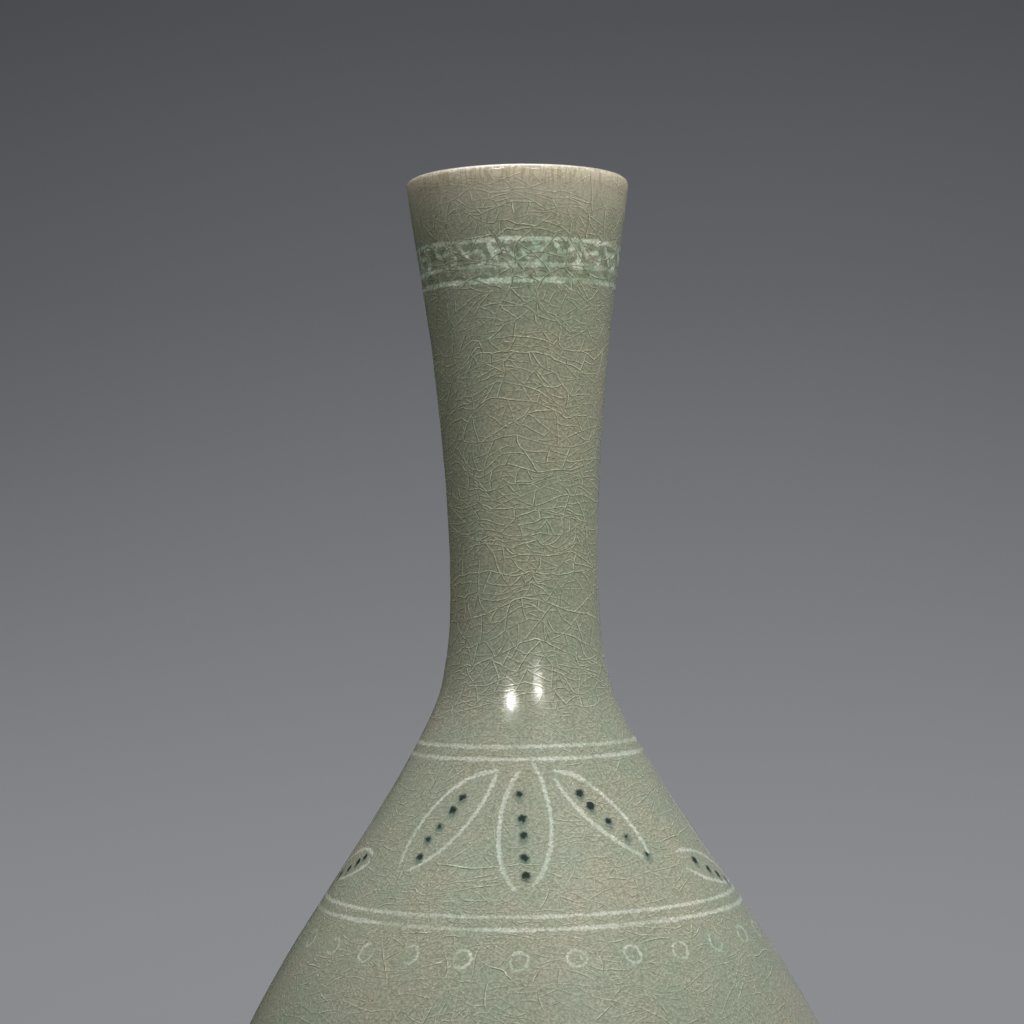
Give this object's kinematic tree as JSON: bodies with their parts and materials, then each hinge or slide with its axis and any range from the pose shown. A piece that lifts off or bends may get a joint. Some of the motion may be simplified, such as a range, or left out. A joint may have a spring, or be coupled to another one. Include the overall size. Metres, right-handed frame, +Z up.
{
  "type": "gallbladder vase",
  "caption": "Tall bottle vase with a slender neck, flared mouth and low rounded belly, glazed, with inlaid slip bands and leaves; holds flowers or liquid.",
  "frame": {"origin": "centre of the foot ring, on the plane that the vase stands on", "axes": "+Z up along the axis of the pot, towards the mouth; -Y is the front, with a hanging spray of leaves"},
  "size_m": [0.172, 0.172, 0.375],
  "materials": {
    "celadon_glaze": "grey-green crackled celadon glaze over grey stoneware",
    "white_slip": "white slip inlaid flush under the same glaze",
    "black_slip": "iron-black slip dots under the same glaze, which bleeds blue-green round them"
  },
  "bodies": {
    "root": {"lower_body": "celadon_glaze", "upper_body": "celadon_glaze", "neck": "celadon_glaze", "body_line_lower": "white_slip", "body_line_upper": "white_slip", "shoulder_line_lower": "white_slip", "shoulder_line_upper": "white_slip", "neck_line_lower": "white_slip", "neck_line_middle": "white_slip", "neck_line_upper": "white_slip", "neck_scroll": "white_slip", "leaf_front_middle": "white_slip", "leaf_front_east": "white_slip", "leaf_front_west": "white_slip", "leaf_right_middle": "white_slip", "leaf_right_east": "white_slip", "leaf_right_west": "white_slip", "leaf_back_middle": "white_slip", "leaf_back_east": "white_slip", "leaf_back_west": "white_slip", "leaf_left_middle": "white_slip", "leaf_left_east": "white_slip", "leaf_left_west": "white_slip", "circle_01": "white_slip", "circle_02": "white_slip", "circle_03": "white_slip", "circle_04": "white_slip", "circle_05": "white_slip", "circle_06": "white_slip", "circle_07": "white_slip", "circle_08": "white_slip", "circle_09": "white_slip", "circle_10": "white_slip", "circle_11": "white_slip", "circle_12": "white_slip", "circle_13": "white_slip", "circle_14": "white_slip", "circle_15": "white_slip", "circle_16": "white_slip", "circle_17": "white_slip", "circle_18": "white_slip", "circle_19": "white_slip", "circle_20": "white_slip", "circle_21": "white_slip", "circle_22": "white_slip", "circle_23": "white_slip", "circle_24": "white_slip", "circle_25": "white_slip", "circle_26": "white_slip", "circle_27": "white_slip", "dot_front_1": "black_slip", "dot_front_2": "black_slip", "dot_front_3": "black_slip", "dot_front_4": "black_slip", "dot_front_5": "black_slip", "dot_back_1": "black_slip", "dot_back_2": "black_slip", "dot_back_3": "black_slip", "dot_back_4": "black_slip", "dot_back_5": "black_slip"}
  },
  "joints": []
}
